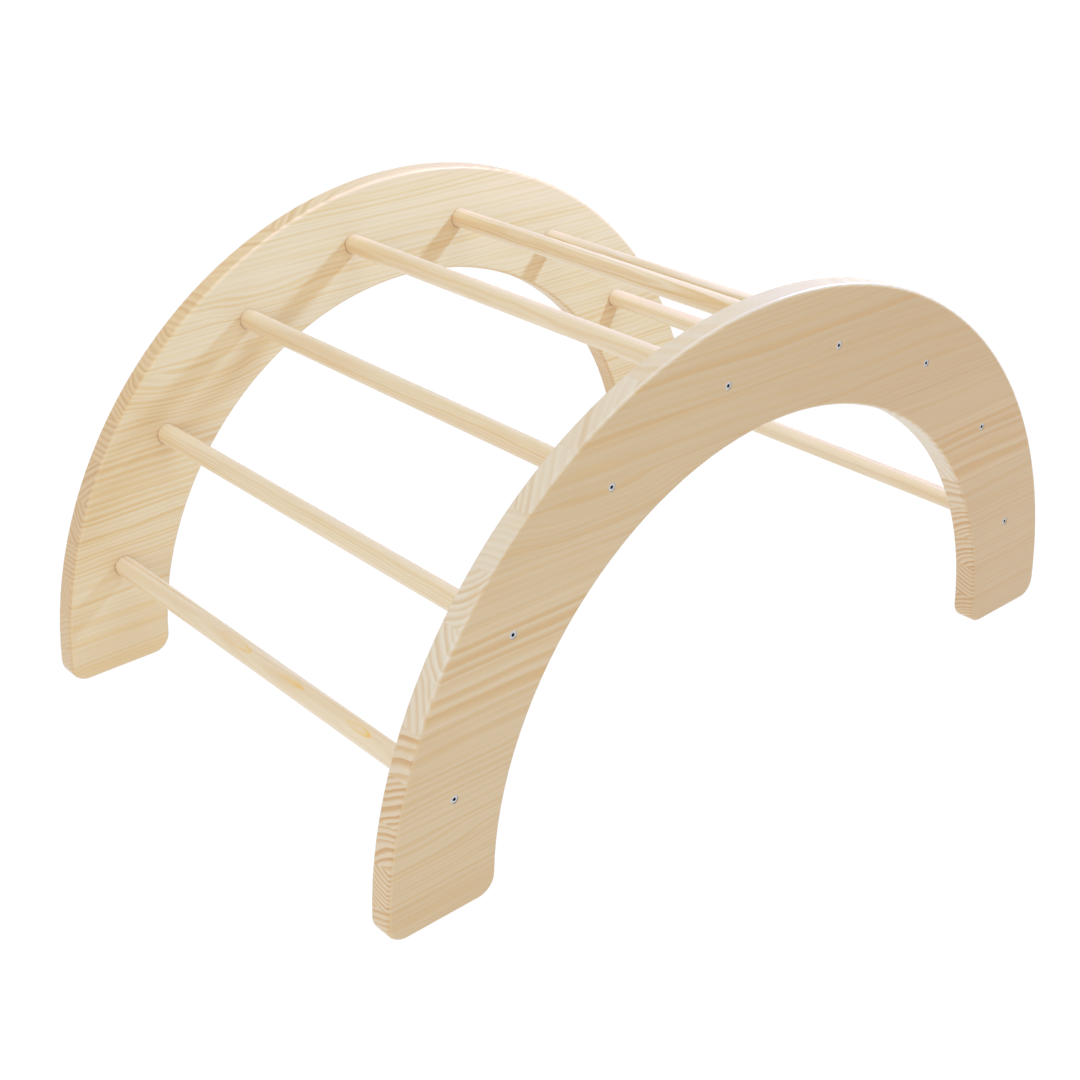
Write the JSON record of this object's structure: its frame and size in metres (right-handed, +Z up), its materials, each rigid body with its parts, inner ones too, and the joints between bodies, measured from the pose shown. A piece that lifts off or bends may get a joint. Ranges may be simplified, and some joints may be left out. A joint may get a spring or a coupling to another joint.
{
  "type": "wooden climbing and rocker arch",
  "caption": "Half-round wooden climbing arch for children: half-ring side panels joined by round rungs, stands on flat feet or rocks when turned over.",
  "frame": {"origin": "on the floor, midway between the four feet", "axes": "+X along the span of the arch, +Y along the rungs from the front panel to the back panel, +Z up"},
  "size_m": [0.9494, 0.596, 0.4794],
  "materials": {
    "panel_wood": "satin, edge-glued pine with clear matt lacquer",
    "rung_wood": "satin, turned pine",
    "zinc_screw": "bright zinc plating"
  },
  "bodies": {
    "root": {"side_panel_front": "panel_wood", "side_panel_back": "panel_wood", "rung_1": "rung_wood", "rung_2": "rung_wood", "rung_3": "rung_wood", "rung_4": "rung_wood", "rung_5": "rung_wood", "rung_6": "rung_wood", "rung_7": "rung_wood", "rung_8": "rung_wood", "screw_front_1": "zinc_screw", "screw_front_2": "zinc_screw", "screw_front_3": "zinc_screw", "screw_front_4": "zinc_screw", "screw_front_5": "zinc_screw", "screw_front_6": "zinc_screw", "screw_front_7": "zinc_screw", "screw_front_8": "zinc_screw", "screw_back_1": "zinc_screw", "screw_back_2": "zinc_screw", "screw_back_3": "zinc_screw", "screw_back_4": "zinc_screw", "screw_back_5": "zinc_screw", "screw_back_6": "zinc_screw", "screw_back_7": "zinc_screw", "screw_back_8": "zinc_screw"}
  },
  "joints": []
}
